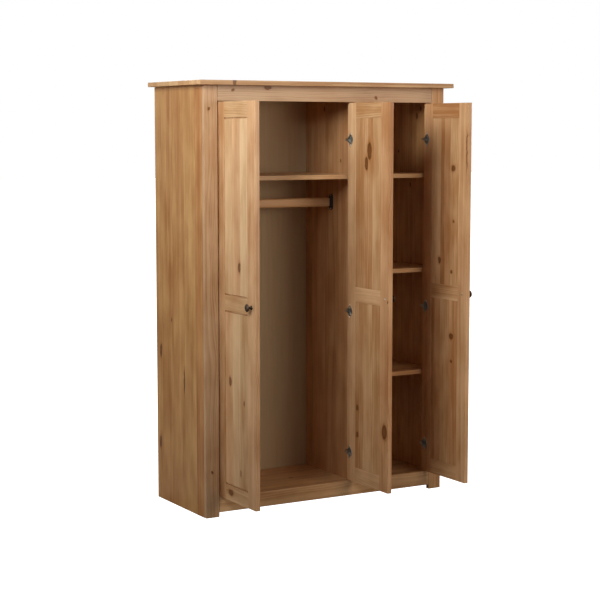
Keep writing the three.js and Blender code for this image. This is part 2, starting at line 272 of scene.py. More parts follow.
pine = bpy.data.node_groups.new("pine staves", "ShaderNodeTree")
for label, kind in (
    ("Across", "Float"), ("Along", "Float"), ("Through", "Float"), ("Moved", "Float"),
    ("Closeness", "Float"), ("Stave", "Float"), ("Seed", "Float"), ("Tint", "Color"),
):
    pine.interface.new_socket(label, in_out="INPUT", socket_type=f"NodeSocket{kind}")
for label, kind in (("Colour", "Color"), ("Height", "Float"), ("Gloss", "Float")):
    pine.interface.new_socket(label, in_out="OUTPUT", socket_type=f"NodeSocket{kind}")
given = add(pine, "NodeGroupInput").outputs
place = add(pine, "ShaderNodeMath", {0: given["Across"], 1: given["Stave"]}, operation="DIVIDE")
place = add(pine, "ShaderNodeMath", {0: place, 1: 0.5}, operation="ADD")
stave_no = add(pine, "ShaderNodeMath", {0: place}, operation="FLOOR")
from_edge = add(pine, "ShaderNodeMath", {0: place}, operation="FRACT")
stave_key = add(pine, "ShaderNodeMath", {0: stave_no, 1: given["Seed"]}, operation="ADD")
chance = add(pine, "ShaderNodeTexWhiteNoise", {"W": stave_key}, noise_dimensions="1D")
dice = add(pine, "ShaderNodeSeparateColor", {"Color": chance.outputs["Color"]}).outputs
middle = add(pine, "ShaderNodeMath", {0: stave_no, 1: given["Stave"]}, operation="MULTIPLY")
offset = add(pine, "ShaderNodeMath", {0: given["Across"], 1: middle}, operation="SUBTRACT")
offset = add(pine, "ShaderNodeMath", {0: offset, 1: given["Moved"]}, operation="ADD")
pith = add(
    pine, "ShaderNodeMath", {0: dice[0], 1: PITH_SPREAD, 2: -PITH_SPREAD / 2},
    operation="MULTIPLY_ADD",
)
offset = add(pine, "ShaderNodeMath", {0: offset, 1: pith}, operation="SUBTRACT")
drift = add(pine, "ShaderNodeMath", {0: stave_key, 1: STAVES_APART}, operation="MULTIPLY")
sway_at = add(pine, "ShaderNodeCombineXYZ", {0: offset, 1: drift, 2: given["Along"]})
sway_at = add(pine, "ShaderNodeVectorMath", {0: sway_at, 1: SWAY_GRID}, operation="MULTIPLY")
sway = add(pine, "ShaderNodeTexNoise", {"Vector": sway_at, "Scale": 1.0, "Detail": 2.0})
sway = add(pine, "ShaderNodeMath", {0: sway, 1: SWAY, 2: -SWAY / 2}, operation="MULTIPLY_ADD")
swayed = add(pine, "ShaderNodeMath", {0: offset, 1: sway}, operation="ADD")
behind = add(
    pine, "ShaderNodeMath", {0: dice[1], 1: PITH_DEPTH, 2: PITH_NEAR}, operation="MULTIPLY_ADD"
)
behind = add(pine, "ShaderNodeMath", {0: behind, 1: given["Through"]}, operation="ADD")
reach_at = add(pine, "ShaderNodeCombineXYZ", {0: swayed, 1: behind})
reach = add(pine, "ShaderNodeVectorMath", {0: reach_at}, operation="LENGTH").outputs["Value"]
rings = add(pine, "ShaderNodeMath", {0: reach, 1: 1 / RING_GAP}, operation="MULTIPLY")
lean = add(
    pine, "ShaderNodeTexNoise", {"W": rings, "Scale": CROWDING_PACE, "Detail": 1.0},
    noise_dimensions="1D",
)
rings = add(pine, "ShaderNodeMath", {0: lean, 1: RING_CROWDING, 2: rings}, operation="MULTIPLY_ADD")
ring = add(pine, "ShaderNodeMath", {0: rings}, operation="FRACT")
late = add(
    pine, "ShaderNodeMapRange", {"Value": ring, 1: LATE_FROM, 2: LATE_TO},
    interpolation_type="SMOOTHSTEP",
)
shut = add(pine, "ShaderNodeMapRange", {"Value": ring, 1: LATE_ENDS, 2: 1.0, 3: 1.0, 4: 0.0})
late = add(pine, "ShaderNodeMath", {0: late, 1: shut}, operation="MULTIPLY")
fibre_at = add(pine, "ShaderNodeCombineXYZ", {0: swayed, 1: behind, 2: given["Along"]})
fibre_at = add(pine, "ShaderNodeVectorMath", {0: fibre_at, 1: FIBRE_GRID}, operation="MULTIPLY")
fibre = add(pine, "ShaderNodeTexNoise", {"Vector": fibre_at, "Scale": 1.0, "Detail": 2.0})
tone_at = add(pine, "ShaderNodeCombineXYZ", {0: offset, 1: drift, 2: given["Along"]})
tone_at = add(pine, "ShaderNodeVectorMath", {0: tone_at, 1: STREAK_GRID}, operation="MULTIPLY")
tone = add(pine, "ShaderNodeTexNoise", {"Vector": tone_at, "Scale": 1.0, "Detail": 3.0})
dark = add(pine, "ShaderNodeMath", {0: late, 1: LATE_SHARE}, operation="MULTIPLY")
dark = add(pine, "ShaderNodeMath", {0: fibre, 1: FIBRE_SHARE, 2: dark}, operation="MULTIPLY_ADD")
dark = add(pine, "ShaderNodeMath", {0: tone, 1: 1.0, 2: dark}, operation="MULTIPLY_ADD")
cloud_at = add(pine, "ShaderNodeCombineXYZ", {0: given["Across"], 1: drift, 2: given["Along"]})
cloud_at = add(pine, "ShaderNodeVectorMath", {0: cloud_at, 1: CLOUD_GRID}, operation="MULTIPLY")
cloud = add(pine, "ShaderNodeTexNoise", {"Vector": cloud_at, "Scale": 1.0, "Detail": 3.0})
dark = add(pine, "ShaderNodeMath", {0: cloud, 1: 1.0, 2: dark}, operation="MULTIPLY_ADD")
dark = add(pine, "ShaderNodeMath", {0: dice[2], 1: STAVE_SHARE, 2: dark}, operation="MULTIPLY_ADD")
dark = add(pine, "ShaderNodeMapRange", {"Value": dark, 1: PALEST, 2: DARKEST})
wood = add(pine, "ShaderNodeMix", {0: dark, 6: EARLY_WOOD, 7: LATE_WOOD}, data_type="RGBA")
rosy = add(pine, "ShaderNodeMath", {0: dice[0], 1: ROSY_SHARE}, operation="MULTIPLY")
wood = add(
    pine, "ShaderNodeMix", {0: rosy, 6: wood.outputs[2], 7: ROSY_WOOD},
    data_type="RGBA", blend_type="MULTIPLY",
)
# The tint gives some boards their own hue and darkens others with painted shade.
wood = add(
    pine, "ShaderNodeMix", {0: 1.0, 6: wood.outputs[2], 7: given["Tint"]},
    data_type="RGBA", blend_type="MULTIPLY",
)
# Round a knot the wood goes orange-brown; the knot itself is dark, darkest at
# its rim, with rings of its own.
halo = add(
    pine, "ShaderNodeMapRange",
    {"Value": given["Closeness"], 1: HALO_FROM, 2: HALO_TO, 4: HALO_STRENGTH},
    interpolation_type="SMOOTHSTEP",
)
wood = add(pine, "ShaderNodeMix", {0: halo, 6: wood.outputs[2], 7: KNOT_HALO}, data_type="RGBA")
inside = add(pine, "ShaderNodeMapRange", {"Value": given["Closeness"], 1: KNOT_FROM, 2: KNOT_TO})
depth = add(pine, "ShaderNodeMath", {0: given["Closeness"], 1: -0.5}, operation="POWER")
knot_ring = add(pine, "ShaderNodeMath", {0: depth, 1: KNOT_RINGS}, operation="MULTIPLY")
knot_ring = add(pine, "ShaderNodeMath", {0: knot_ring}, operation="FRACT")
knot_ring = add(pine, "ShaderNodeMapRange", {"Value": knot_ring, 3: 1.0, 4: KNOT_RING_PALE})
rim = add(pine, "ShaderNodeMapRange", {"Value": depth, 1: 0.4, 2: 1.0, 3: 0.7, 4: 1.0})
inside = add(pine, "ShaderNodeMath", {0: inside, 1: knot_ring}, operation="MULTIPLY")
inside = add(pine, "ShaderNodeMath", {0: inside, 1: rim}, operation="MULTIPLY")
wood = add(pine, "ShaderNodeMix", {0: inside, 6: wood.outputs[2], 7: KNOT_HEART}, data_type="RGBA")
# The glue line between two staves is a hair of shadow.
edge = add(pine, "ShaderNodeMath", {0: from_edge, 1: 0.5}, operation="SUBTRACT")
edge = add(pine, "ShaderNodeMath", {0: edge}, operation="ABSOLUTE")
edge = add(pine, "ShaderNodeMapRange", {"Value": edge, 1: GLUE_FROM, 2: 0.5, 3: 1.0, 4: GLUE_SHADE})
wood = add(
    pine, "ShaderNodeMix", {0: 1.0, 6: wood.outputs[2], 7: edge},
    data_type="RGBA", blend_type="MULTIPLY",
)
height = add(pine, "ShaderNodeMath", {0: late, 1: LATE_RELIEF}, operation="MULTIPLY")
height = add(
    pine, "ShaderNodeMath", {0: fibre, 1: FIBRE_RELIEF, 2: height}, operation="MULTIPLY_ADD"
)
height = add(pine, "ShaderNodeMath", {0: height, 1: edge}, operation="MULTIPLY")
gloss = add(pine, "ShaderNodeMapRange", {"Value": dark, 3: PALE_ROUGHNESS, 4: DARK_ROUGHNESS})
add(pine, "NodeGroupOutput", {"Colour": wood.outputs[2], "Height": height, "Gloss": gloss})

# Satin lacquer is a thin clear coat: highlights on it are soft and wide, and
# the pores and rings still break them a little.
PLAIN_TINT = (1.0, 1.0, 1.0)
LACQUER_COAT = 0.18
LACQUER_COAT_ROUGHNESS = 0.32
PORE_DEPTH = 0.25 * MM
PORE_STRENGTH = 0.35
# The wood round a knot wavers by up to 6 mm every 24 mm, so no knot is round.
WARP_SIZE = 42.0
WARP_REACH = 6.0 * MM


def lacquered_pine(name, low, high, run, stave, seed, knots=(), tint_and_painted_shade=PLAIN_TINT):
    """Satin-lacquered pine for a board between two corners, its grain along one
    axis (0, 1 or 2). Knots are (point, radius, stretch along the grain)."""
    sizes = [high[axis] - low[axis] for axis in range(3)]
    through = min((axis for axis in range(3) if axis != run), key=lambda axis: sizes[axis])
    across = 3 - run - through
    made, tree, shader, here = new_material(name)
    centre = [(low[axis] + high[axis]) / 2 for axis in range(3)]
    here = add(tree, "ShaderNodeMapping", {"Vector": here, "Location": [-c for c in centre]})
    axes = add(tree, "ShaderNodeSeparateXYZ", {0: here}).outputs
    warp = add(tree, "ShaderNodeTexNoise", {"Vector": here, "Scale": WARP_SIZE, "Detail": 1.5})
    warp = add(tree, "ShaderNodeSeparateColor", {"Color": warp.outputs["Color"]}).outputs
    side = add(
        tree, "ShaderNodeMath", {0: warp[0], 1: 2 * WARP_REACH, 2: axes[across]},
        operation="MULTIPLY_ADD",
    )
    side = add(tree, "ShaderNodeMath", {0: side, 1: WARP_REACH}, operation="SUBTRACT")
    ahead = add(
        tree, "ShaderNodeMath", {0: warp[1], 1: 2 * WARP_REACH, 2: axes[run]},
        operation="MULTIPLY_ADD",
    )
    ahead = add(tree, "ShaderNodeMath", {0: ahead, 1: WARP_REACH}, operation="SUBTRACT")
    moved = close = None
    for point, radius, stretch in knots:
        feeds = {
            "Across": side, "Along": ahead, "Radius": radius, "Stretch": stretch,
            "Knot across": point[across] - centre[across], "Knot along": point[run] - centre[run],
        }
        if moved:
            feeds.update({"Moved": moved, "Closeness": close})
        knot = add(tree, "ShaderNodeGroup", feeds, node_tree=swirl)
        moved, close = knot.outputs["Moved"], knot.outputs["Closeness"]
    feeds = {
        "Across": axes[across], "Along": axes[run], "Through": axes[through],
        "Stave": stave, "Seed": float(seed), "Tint": (*tint_and_painted_shade, 1.0),
    }
    if moved:
        feeds.update({"Moved": moved, "Closeness": close})
    grain = add(tree, "ShaderNodeGroup", feeds, node_tree=pine)
    tree.links.new(grain.outputs["Colour"], shader.inputs["Base Color"])
    tree.links.new(grain.outputs["Gloss"], shader.inputs["Roughness"])
    shader.inputs["Coat Weight"].default_value = LACQUER_COAT
    shader.inputs["Coat Roughness"].default_value = LACQUER_COAT_ROUGHNESS
    bump = add(tree, "ShaderNodeBump", {
        "Height": grain.outputs["Height"], "Strength": PORE_STRENGTH, "Distance": PORE_DEPTH,
    })
    tree.links.new(bump.outputs[0], shader.inputs["Normal"])
    return made


PIN_KNOT, BRANCH_KNOT = 3.0 * MM, 7.5 * MM
LEAST_STRETCH, MOST_STRETCH = 1.3, 1.9


def scattered(low, high, count, seed):
    """Small pin and branch knots at chance places over a board."""
    dice = random.Random(seed)
    spots = []
    for _ in range(count):
        point = [dice.uniform(low[axis], high[axis]) for axis in range(3)]
        radius = dice.uniform(PIN_KNOT, BRANCH_KNOT)
        spots.append((point, radius, dice.uniform(LEAST_STRETCH, MOST_STRETCH)))
    return spots


WELD_REACH = 0.01 * MM
SHARP_EDGE = math.radians(40)
KNOT_NEAR = 4 * MM


def soften(piece, label, width):
    """Joins a piece's facets and rounds its sharp edges."""
    weld = piece.modifiers.new("weld", "WELD")
    weld.merge_threshold = WELD_REACH
    bevel = piece.modifiers.new(label, "BEVEL")
    bevel.width = width
    bevel.segments = 2
    bevel.limit_method = "ANGLE"
    bevel.angle_limit = SHARP_EDGE


def finish_board(node, run, stave, seed, knots=(), arris=1.2, tint_and_painted_shade=PLAIN_TINT):
    """Gives a board its wood and sands its edges; the arris is in millimetres."""
    low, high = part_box(node)
    board = bpy.data.objects[node]
    here = [
        knot for knot in knots
        if all(low[a] - KNOT_NEAR <= knot[0][a] <= high[a] + KNOT_NEAR for a in range(3))
    ]
    label = f"lacquered pine, {node.replace('_', ' ')}"
    wood = lacquered_pine(label, low, high, run, stave, seed, here, tint_and_painted_shade)
    wear_only(board, wood)
    soften(board, "sanded edges", arris * MM)


X, Y, Z = 0, 1, 2
WHOLE = 200 * MM  # wider than any piece cut from one stave
TOP_STAVE = 95 * MM
top_low, top_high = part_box("top_board")
top_knots = scattered(top_low, top_high, 9, 5)
finish_board("top_board", X, TOP_STAVE, 11, top_knots, arris=2.0)

# ---- Sides, divider, bottom and shelves ---------------------------------
# Boards of the same edge-glued pine. Sides and divider stand with the grain
# upright; the bottom and shelves lie with it from side to side.
SIDE_STAVE = 104 * MM
SHELF_STAVE = 90 * MM
FRAME_AND_SEAM = 18.3 * MM
left_low, left_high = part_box("side_panel_left")
front = left_low[Y] - FRAME_AND_SEAM
side_x = (left_low[X] + left_high[X]) / 2


def at(x, y_from_front, z):
    """A point by its distance behind the face frame's front."""
    return (x, front + y_from_front, z)


# Knots: place, radius and how many times longer than wide they are.
left_knots = [
    (at(side_x, 0.404, 0.621), 9 * MM, 3.0),
    (at(side_x, 0.414, 0.240), 9 * MM, 2.6),
    (at(side_x, 0.186, 0.520), 5 * MM, 9.0),
    (at(side_x, 0.300, 0.760), 3 * MM, 3.0),
]
DEEP_HONEY = (0.97, 0.87, 0.66)
HONEY = (1.0, 0.92, 0.78)
# Painted shade: this tint darkens the divider to stand for the shade inside the carcass.
INTERIOR_PAINTED_SHADE = (0.8, 0.74, 0.7)
finish_board("side_panel_left", Z, SIDE_STAVE, 21, left_knots, tint_and_painted_shade=DEEP_HONEY)
low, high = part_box("side_panel_right")
finish_board("side_panel_right", Z, SIDE_STAVE, 22, scattered(low, high, 8, 6), tint_and_painted_shade=HONEY)
low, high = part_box("divider_panel")
# The divider wears painted shade for the dark inside of the carcass.
finish_board("divider_panel", Z, SHELF_STAVE, 31, scattered(low, high, 6, 7), tint_and_painted_shade=INTERIOR_PAINTED_SHADE)
SHELVES = ("bottom_panel", "hat_shelf", "shelf_upper", "shelf_middle", "shelf_lower")
for number, node in enumerate(SHELVES):
    low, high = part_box(node)
    finish_board(node, X, SHELF_STAVE, 41 + number, scattered(low, high, 4, 8 + number))

# ---- Face frame ---------------------------------------------------------
# Solid 18 mm stiles and rails of pine, glued to the front of the carcass. The
# left stile is a rosier cut than the rest; the top rail is darkened with painted
# shade that stands in for the shadow of the top board's overhang.
FACE_MIDDLE = 9 * MM
frame_knots = [
    (at(-0.5365, FACE_MIDDLE, 1.604), 5 * MM, 1.2),
    (at(-0.532, FACE_MIDDLE, 0.182), 4.5 * MM, 1.2),
    (at(-0.432, FACE_MIDDLE, 1.679), 5 * MM, 1.2),
    (at(-0.279, FACE_MIDDLE, 1.689), 6 * MM, 2.4),
    (at(0.225, FACE_MIDDLE, 1.654), 4.5 * MM, 1.4),
]
ROSE = (0.92, 0.94, 1.06)
# Painted shade: this tint darkens the top rail to stand for the top board's overhang shadow.
ROSE_AND_PAINTED_SHADE = (0.74, 0.78, 0.9)
finish_board("stile_left", Z, WHOLE, 51, frame_knots, arris=3.2, tint_and_painted_shade=ROSE)
finish_board("stile_right", Z, WHOLE, 52, frame_knots, arris=2.4)
finish_board("stile_centre", Z, WHOLE, 53, frame_knots)
finish_board("top_rail", X, WHOLE, 54, frame_knots, tint_and_painted_shade=ROSE_AND_PAINTED_SHADE)
finish_board("bottom_rail", X, WHOLE, 55, frame_knots)

# ---- Back panel ---------------------------------------------------------
# One thin sheet of fibreboard in the sides' grooves, faced with a pale
# beige foil; the foil is matt, with a faint printed figure of upright streaks.
FOIL_LIGHT, FOIL_DARK = colour(0xCDB694), colour(0xBDA27C)
FOIL_GRID = (90.0, 90.0, 4.0)  # to the metre: streaks 11 mm wide
FOIL_ROUGHNESS = 0.62
foil, foil_tree, foil_shader, foil_here = new_material("beige foil on fibreboard")
foil_figure = add(
    foil_tree, "ShaderNodeVectorMath", {0: foil_here, 1: FOIL_GRID}, operation="MULTIPLY"
)
foil_figure = add(
    foil_tree, "ShaderNodeTexNoise", {"Vector": foil_figure, "Scale": 1.0, "Detail": 3.0}
)
foil_colour = add(
    foil_tree, "ShaderNodeMix", {0: foil_figure, 6: FOIL_LIGHT, 7: FOIL_DARK}, data_type="RGBA"
)
foil_tree.links.new(foil_colour.outputs[2], foil_shader.inputs["Base Color"])
foil_shader.inputs["Roughness"].default_value = FOIL_ROUGHNESS
wear_only(bpy.data.objects["back_panel"], foil)

# ---- Doors --------------------------------------------------------------
# Three frames of 61 mm stiles and rails, each round two panels of glued staves
# tongued into grooves. The panels lie 1 mm below the frame on both faces, and
# the step shows as a dark line.
PANEL_STAVE = 64 * MM
left_x, middle_x, right_x = (
    sum(corner[X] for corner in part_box(f"door_{door}_panel_upper")) / 2
    for door in ("left", "middle", "right")
)
door_knots = {
    "left": [
        (at(left_x, -0.163, 1.002), 9 * MM, 2.1),
        (at(left_x, -0.085, 0.555), 9 * MM, 1.9),
        (at(left_x, -0.200, 0.483), 4 * MM, 2.4),
        (at(left_x, -0.089, 0.116), 11 * MM, 1.7),
        (at(left_x, -0.170, 0.205), 3.5 * MM, 3.0),
    ],
    "middle": [
        (at(middle_x, -0.145, 1.440), 15 * MM, 2.3),
        (at(middle_x, -0.122, 1.392), 11 * MM, 2.4),
        (at(middle_x, -0.061, 0.395), 9 * MM, 1.2),
        (at(middle_x, -0.061, 0.285), 9 * MM, 1.1),
        (at(middle_x, -0.266, 0.326), 18 * MM, 1.6),
        (at(middle_x, -0.285, 0.850), 3.5 * MM, 1.6),
    ],
    "right": [
        (at(right_x, -0.193, 1.369), 14 * MM, 0.9),
        (at(right_x, -0.196, 1.153), 6 * MM, 1.0),
        (at(right_x, -0.186, 0.946), 6 * MM, 1.0),
        (at(right_x, -0.099, 0.989), 9 * MM, 1.3),
        (at(right_x, -0.189, 0.679), 13 * MM, 1.0),
        (at(right_x, -0.189, 0.576), 6 * MM, 1.0),
        (at(right_x, -0.286, 1.435), 3 * MM, 24.0),
    ],
}
door_tints = {
    "left": (1.03, 1.08, 1.17), "middle": (1.02, 1.01, 1.05), "right": (1.0, 0.97, 0.98),
}
for number, door in enumerate(("left", "middle", "right")):
    seed = 107 + 10 * number
    for step, (part, run, stave, arris) in enumerate((
        ("stile_hinge", Z, WHOLE, 0.8),
        ("stile_free", Z, WHOLE, 0.8),
        ("rail_bottom", Y, WHOLE, 0.8),
        ("rail_middle", Y, WHOLE, 0.8),
        ("rail_top", Y, WHOLE, 0.8),
        ("panel_lower", Z, PANEL_STAVE, 0.6),
        ("panel_upper", Z, PANEL_STAVE, 0.6),
    )):
        finish_board(
            f"door_{door}_{part}", run, stave, seed + step,
            door_knots[door], arris, door_tints[door],
        )

# ---- Clothes rail -------------------------------------------------------
# An oval bar of planed pine that lies in a socket at each end, its long side
# upright. It is lacquered like the boards.
OVAL_STEPS = 40
SAME_POINT = 0.001 * MM
CREASE = math.radians(35)


def stretched_oval(y, z, wide, tall):
    """An upright slot outline in Y and Z: two half circles joined by straights."""
    half = OVAL_STEPS // 2
    points = []
    for end, sign in ((0, 1), (1, -1)):
        for step in range(half + 1):
            turn = math.pi * step / half + end * math.pi
            lift = sign * (tall - wide) / 2
            points.append((y + math.cos(turn) * wide / 2, z + lift + math.sin(turn) * wide / 2))
    return points


def turned_out(piece):
    """Points every face outwards and marks the sharp edges for shading."""
    mesh = bmesh.new()
    mesh.from_mesh(piece.data)
    bmesh.ops.remove_doubles(mesh, verts=mesh.verts, dist=SAME_POINT)
    bmesh.ops.recalc_face_normals(mesh, faces=mesh.faces)
    for edge in mesh.edges:
        if len(edge.link_faces) == 2:
            edge.smooth = edge.calc_face_angle() < CREASE
    mesh.to_mesh(piece.data)
    mesh.free()


def drawn_along_x(name, sections, material):
    """A closed skin through outlines of equal length, each at its own X."""
    count = len(sections[0][1])
    points = [(x, y, z) for x, outline in sections for y, z in outline]
    faces = []
    for ring in range(len(sections) - 1):
        for step in range(count):
            a = ring * count + step
            b = ring * count + (step + 1) % count
            faces.append((a, b, b + count, a + count))
    faces.append(tuple(range(count - 1, -1, -1)))
    faces.append(tuple(range((len(sections) - 1) * count, len(sections) * count)))
    made = new_piece(name, points, faces, material)
    turned_out(made)
    return made


rail_low, rail_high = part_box("clothes_rail")
rail_y = (rail_low[Y] + rail_high[Y]) / 2
rail_z = (rail_low[Z] + rail_high[Z]) / 2
rail_wide = rail_high[Y] - rail_low[Y]
rail_tall = rail_high[Z] - rail_low[Z]
CHAMFER = 0.8 * MM
rail_sections = [
    (x, stretched_oval(rail_y, rail_z, rail_wide - trim, rail_tall - trim))
    for x, trim in (
        (rail_low[X], 2 * CHAMFER),
        (rail_low[X] + CHAMFER, 0.0),
        (rail_high[X] - CHAMFER, 0.0),
        (rail_high[X], 2 * CHAMFER),
    )
]
rail_knots = scattered(rail_low, rail_high, 2, 3)
rail_wood = lacquered_pine(
    "lacquered pine, clothes rail", rail_low, rail_high, X, WHOLE, 95, rail_knots
)
rail = drawn_along_x("clothes_rail_oval", rail_sections, rail_wood)
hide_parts("clothes_rail")
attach(rail, "carcass")

# ---- Rail brackets ------------------------------------------------------
# Sockets of dark brown nylon, injection moulded, so their rims are rounded
# and the skin has a fine matt texture. Two screws hold each plate.
NYLON_DARK, NYLON_LIGHT = colour(0x2B2420), colour(0x3A302A)
NYLON_SPECKS = 900.0  # to the metre: 1.1 mm apart, coarser than life
NYLON_RELIEF, NYLON_PITS = 0.3, 0.05 * MM
NYLON_ROUGHNESS = 0.5
nylon, nylon_tree, nylon_shader, nylon_here = new_material("moulded dark brown nylon")
nylon_mist = add(
    nylon_tree, "ShaderNodeTexNoise", {"Vector": nylon_here, "Scale": NYLON_SPECKS, "Detail": 2.0}
)
nylon_colour = add(
    nylon_tree, "ShaderNodeMix", {0: nylon_mist, 6: NYLON_DARK, 7: NYLON_LIGHT}, data_type="RGBA"
)
nylon_bump = add(nylon_tree, "ShaderNodeBump", {
    "Height": nylon_mist, "Strength": NYLON_RELIEF, "Distance": NYLON_PITS,
})
nylon_tree.links.new(nylon_colour.outputs[2], nylon_shader.inputs["Base Color"])
nylon_tree.links.new(nylon_bump.outputs[0], nylon_shader.inputs["Normal"])
nylon_shader.inputs["Roughness"].default_value = NYLON_ROUGHNESS
PLATE = 3 * MM
SOCKET_WALL = 3 * MM
SOCKET_FIT = 0.4 * MM
ROUND = 0.9 * MM  # of the moulded edges
FLOOR_LIFT = 0.05 * MM  # of the socket floor off the plate
for side, hand in (("left", 1), ("right", -1)):
    low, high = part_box(f"rail_bracket_{side}")
    wall_x, rim_x = (low[X], high[X]) if hand > 0 else (high[X], low[X])
    y, z = (low[Y] + high[Y]) / 2, (low[Z] + high[Z]) / 2
    base = (high[Y] - low[Y], high[Z] - low[Z])
    bore = (rail_wide + 2 * SOCKET_FIT, rail_tall + 2 * SOCKET_FIT)
    boss = (bore[0] + 2 * SOCKET_WALL, bore[1] + 2 * SOCKET_WALL)
    plate_x = wall_x + hand * PLATE
    stations = [  # (X, how far the outline is drawn in, the outline it is drawn in from)
        (wall_x, 0, base),
        (plate_x - hand * ROUND, 0, base),
        (plate_x - hand * 0.3 * ROUND, 0.6 * ROUND, base),
        (plate_x, 2 * ROUND, base),
        (plate_x, -2 * ROUND, boss),
        (plate_x + hand * ROUND, 0, boss),
        (rim_x - hand * ROUND, 0, boss),
        (rim_x - hand * 0.3 * ROUND, 0.6 * ROUND, boss),
        (rim_x, 2 * ROUND, boss),
        (rim_x, -ROUND, bore),
        (rim_x - hand * ROUND, 0, bore),
        (plate_x + hand * FLOOR_LIFT, 0, bore),
    ]
    sections = [
        (x, stretched_oval(y, z, wide - trim, tall - trim)) for x, trim, (wide, tall) in stations
    ]
    bracket = drawn_along_x(f"rail_socket_{side}", sections, nylon)
    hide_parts(f"rail_bracket_{side}")
    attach(bracket, "carcass")

# ---- Knobs --------------------------------------------------------------
# Mushroom knobs of cast zinc with an antique bronze finish: near black, with
# the brown metal showing, smoother, where hands have rubbed the face.
BRONZE_DARK, BRONZE_RUBBED = colour(0x3B3531), colour(0x6A5746)
BRONZE_PATCHES = 320.0  # to the metre: 3 mm apart
RUBBED_FROM, RUBBED_TO = 0.42, 0.66
DARK_SHEEN, RUBBED_SHEEN = 0.42, 0.28  # roughness
BRONZE_METALLIC = 0.9  # the patina's oxide is not quite a metal
bronze, bronze_tree, bronze_shader, bronze_here = new_material("antique bronze on cast zinc")
bronze_wear = add(bronze_tree, "ShaderNodeTexNoise", {
    "Vector": bronze_here, "Scale": BRONZE_PATCHES, "Detail": 4.0,
})
bronze_wear = add(
    bronze_tree, "ShaderNodeMapRange", {"Value": bronze_wear, 1: RUBBED_FROM, 2: RUBBED_TO},
    interpolation_type="SMOOTHSTEP",
)
bronze_colour = add(
    bronze_tree, "ShaderNodeMix", {0: bronze_wear, 6: BRONZE_DARK, 7: BRONZE_RUBBED},
    data_type="RGBA",
)
bronze_rough = add(bronze_tree, "ShaderNodeMapRange", {
    "Value": bronze_wear, 3: DARK_SHEEN, 4: RUBBED_SHEEN,
})
bronze_tree.links.new(bronze_colour.outputs[2], bronze_shader.inputs["Base Color"])
bronze_tree.links.new(bronze_rough.outputs[0], bronze_shader.inputs["Roughness"])
bronze_shader.inputs["Metallic"].default_value = BRONZE_METALLIC
TURN_STEPS = 48


def turned(name, profile, centre, axis, material):
    """A closed turned shape: (radius or a function of the angle, height) rings
    about an axis direction, from one pole to the other."""
    other = Vector((0, 0, 1))
    side = Vector(axis).cross(other)
    points, rings, faces = [], [], []
    for radius, height in profile:
        if radius == 0:
            rings.append([len(points)])
            points.append(Vector(centre) + Vector(axis) * height)
            continue
        rings.append(list(range(len(points), len(points) + TURN_STEPS)))
        for step in range(TURN_STEPS):
            turn = 2 * math.pi * step / TURN_STEPS
            reach = radius(turn) if callable(radius) else radius
            points.append(
                Vector(centre) + Vector(axis) * height
                + other * reach * math.cos(turn) + side * reach * math.sin(turn)
            )
    for one, two in zip(rings, rings[1:]):
        for step in range(TURN_STEPS):
            following = (step + 1) % TURN_STEPS
            if len(one) == 1:
                faces.append((one[0], two[step], two[following]))
            elif len(two) == 1:
                faces.append((one[step], two[0], one[following]))
            else:
                faces.append((one[step], two[step], two[following], one[following]))
    made = new_piece(name, points, faces, material)
    turned_out(made)
    return made


# Half the knob's section, in millimetres: reach from the axis, height off the door.
KNOB_PROFILE = (
    (0, 0), (8.4, 0), (9.0, 0.4), (9.0, 1.3), (8.6, 1.8), (7.2, 2.2), (5.9, 3.2), (5.0, 4.8),
    (4.6, 6.6), (4.5, 8.6), (4.7, 10.6), (5.4, 12.4), (6.8, 13.9), (8.8, 15.0), (11.2, 15.8),
    (13.2, 16.6), (14.4, 17.5), (14.9, 18.5), (15.0, 19.4), (14.8, 20.4), (14.1, 21.3),
    (12.6, 22.1), (12.0, 22.15), (11.6, 22.0), (11.1, 22.1), (9.4, 22.8), (6.6, 23.4),
    (3.4, 23.75), (0, 23.85),
)
for door, outward in (("left", -1), ("middle", 1), ("right", 1)):
    low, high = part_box(f"door_{door}_knob")
    seat = low[X] if outward > 0 else high[X]
    centre = (seat, (low[Y] + high[Y]) / 2, (low[Z] + high[Z]) / 2)
    profile = [(radius * MM, height * MM) for radius, height in KNOB_PROFILE]
    knob = turned(f"knob_{door}", profile, centre, (outward, 0, 0), bronze)
    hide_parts(f"door_{door}_knob")
    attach(knob, f"door_{door}")

# ---- Hinge cups ---------------------------------------------------------
# Pressed steel cups, nickel plated, let into the door's inner face. Each has
# a diamond-shaped flange with a screw near either point. The plating is
# bright, with a thin cloudy film that softens its highlights in patches.
NICKEL_BRIGHT, NICKEL_DULL = colour(0xD2CFC8), colour(0xA9A6A0)
NICKEL_PATCHES = 260.0  # to the metre: 4 mm apart
BRIGHT_ROUGHNESS, DULL_ROUGHNESS = 0.24, 0.46
NICKEL_RELIEF, NICKEL_PITS = 0.15, 0.05 * MM
nickel, nickel_tree, nickel_shader, nickel_here = new_material("nickel plate on pressed steel")
nickel_film = add(nickel_tree, "ShaderNodeTexNoise", {
    "Vector": nickel_here, "Scale": NICKEL_PATCHES, "Detail": 3.0,
})
nickel_colour = add(
    nickel_tree, "ShaderNodeMix", {0: nickel_film, 6: NICKEL_BRIGHT, 7: NICKEL_DULL},
    data_type="RGBA",
)
nickel_rough = add(nickel_tree, "ShaderNodeMapRange", {
    "Value": nickel_film, 3: BRIGHT_ROUGHNESS, 4: DULL_ROUGHNESS,
})
nickel_bump = add(nickel_tree, "ShaderNodeBump", {
    "Height": nickel_film, "Strength": NICKEL_RELIEF, "Distance": NICKEL_PITS,
})
nickel_tree.links.new(nickel_colour.outputs[2], nickel_shader.inputs["Base Color"])
nickel_tree.links.new(nickel_rough.outputs[0], nickel_shader.inputs["Roughness"])
nickel_tree.links.new(nickel_bump.outputs[0], nickel_shader.inputs["Normal"])
nickel_shader.inputs["Metallic"].default_value = 1.0
